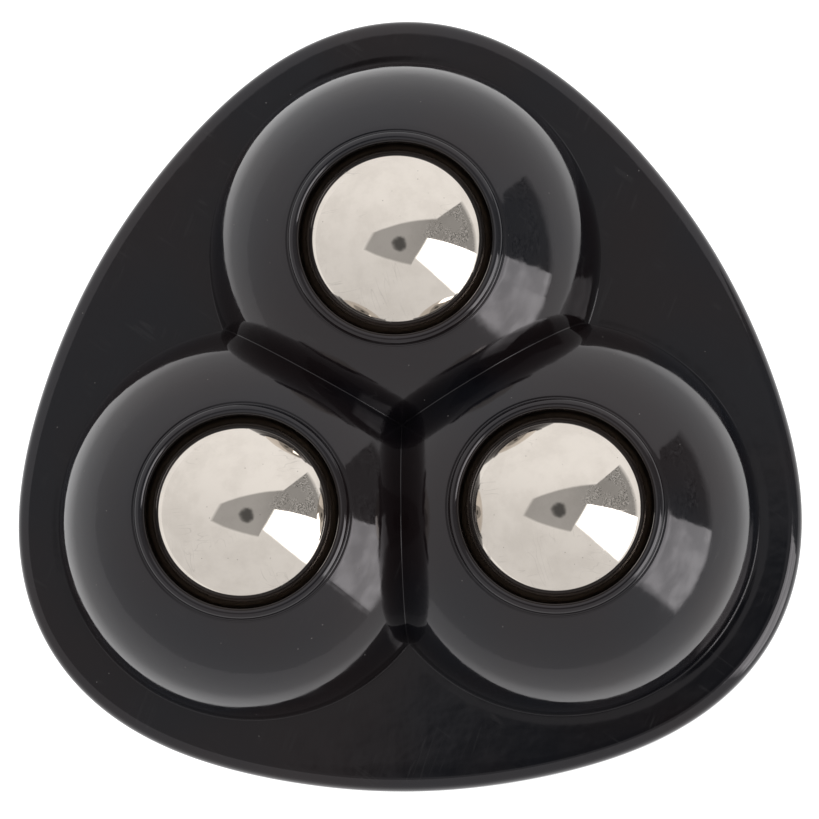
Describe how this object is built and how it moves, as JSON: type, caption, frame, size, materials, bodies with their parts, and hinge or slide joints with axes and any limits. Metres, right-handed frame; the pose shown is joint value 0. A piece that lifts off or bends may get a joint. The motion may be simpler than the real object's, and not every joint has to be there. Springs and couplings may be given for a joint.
{
  "type": "triple ball caster",
  "caption": "Self-adhesive ball caster: mirror-steel balls rolling in the domes of a black rounded-triangle cover, with a flat adhesive back.",
  "frame": {"origin": "on the three-fold axis, at the outer face of the adhesive back with its release liner on", "axes": "+Z out of the back towards the balls, +Y towards the station of load_ball_1, +X to the right seen from the ball side"},
  "size_m": [0.0572, 0.0566, 0.0189],
  "materials": {
    "cover": "moulded, glossy black",
    "base": "moulded, satin black",
    "ball_steel": "polished, fine rolling marks",
    "bearing_steel": "polished",
    "cup_steel": "pressed, satin",
    "screw_steel": "zinc plated",
    "sleeve": "natural acetal",
    "pad": "closed-cell foam tape",
    "liner": "silicone-coated kraft paper"
  },
  "bodies": {
    "root": {"cover_shell": "cover", "base_plate": "base", "race_cup_1": "cup_steel", "race_cup_2": "cup_steel", "race_cup_3": "cup_steel", "ball_retainer_1": "sleeve", "ball_retainer_2": "sleeve", "ball_retainer_3": "sleeve", "cover_screw_1": "screw_steel", "cover_screw_2": "screw_steel", "cover_screw_3": "screw_steel", "adhesive_pad": "pad", "release_liner": "liner"},
    "bearing_train_1": {"bearing_ball_1_01": "bearing_steel", "bearing_ball_1_02": "bearing_steel", "bearing_ball_1_03": "bearing_steel", "bearing_ball_1_04": "bearing_steel", "bearing_ball_1_05": "bearing_steel", "bearing_ball_1_06": "bearing_steel", "bearing_ball_1_07": "bearing_steel", "bearing_ball_1_08": "bearing_steel", "bearing_ball_1_09": "bearing_steel", "bearing_ball_1_10": "bearing_steel", "bearing_ball_1_11": "bearing_steel", "bearing_ball_1_12": "bearing_steel"},
    "bearing_train_2": {"bearing_ball_2_01": "bearing_steel", "bearing_ball_2_02": "bearing_steel", "bearing_ball_2_03": "bearing_steel", "bearing_ball_2_04": "bearing_steel", "bearing_ball_2_05": "bearing_steel", "bearing_ball_2_06": "bearing_steel", "bearing_ball_2_07": "bearing_steel", "bearing_ball_2_08": "bearing_steel", "bearing_ball_2_09": "bearing_steel", "bearing_ball_2_10": "bearing_steel", "bearing_ball_2_11": "bearing_steel", "bearing_ball_2_12": "bearing_steel"},
    "bearing_train_3": {"bearing_ball_3_01": "bearing_steel", "bearing_ball_3_02": "bearing_steel", "bearing_ball_3_03": "bearing_steel", "bearing_ball_3_04": "bearing_steel", "bearing_ball_3_05": "bearing_steel", "bearing_ball_3_06": "bearing_steel", "bearing_ball_3_07": "bearing_steel", "bearing_ball_3_08": "bearing_steel", "bearing_ball_3_09": "bearing_steel", "bearing_ball_3_10": "bearing_steel", "bearing_ball_3_11": "bearing_steel", "bearing_ball_3_12": "bearing_steel"},
    "ball_1": {"load_ball_1": "ball_steel"},
    "ball_2": {"load_ball_2": "ball_steel"},
    "ball_3": {"load_ball_3": "ball_steel"}
  },
  "joints": [
    {"name": "bearing_turn_1", "type": "hinge", "parent": "root", "child": "bearing_train_1", "pos_m": [0, 0.0129, 0.00423], "axis": [0, 0, 1], "continuous": true},
    {"name": "ball_roll_1", "type": "hinge", "parent": "bearing_train_1", "child": "ball_1", "pos_m": [0, 0.0129, 0.011], "axis": [1, 0, 0], "continuous": true},
    {"name": "bearing_turn_2", "type": "hinge", "parent": "root", "child": "bearing_train_2", "pos_m": [-0.01117, -0.00645, 0.00423], "axis": [0, 0, 1], "continuous": true},
    {"name": "ball_roll_2", "type": "hinge", "parent": "bearing_train_2", "child": "ball_2", "pos_m": [-0.01117, -0.00645, 0.011], "axis": [1, 0, 0], "continuous": true},
    {"name": "bearing_turn_3", "type": "hinge", "parent": "root", "child": "bearing_train_3", "pos_m": [0.01117, -0.00645, 0.00423], "axis": [0, 0, 1], "continuous": true},
    {"name": "ball_roll_3", "type": "hinge", "parent": "bearing_train_3", "child": "ball_3", "pos_m": [0.01117, -0.00645, 0.011], "axis": [1, 0, 0], "continuous": true}
  ]
}
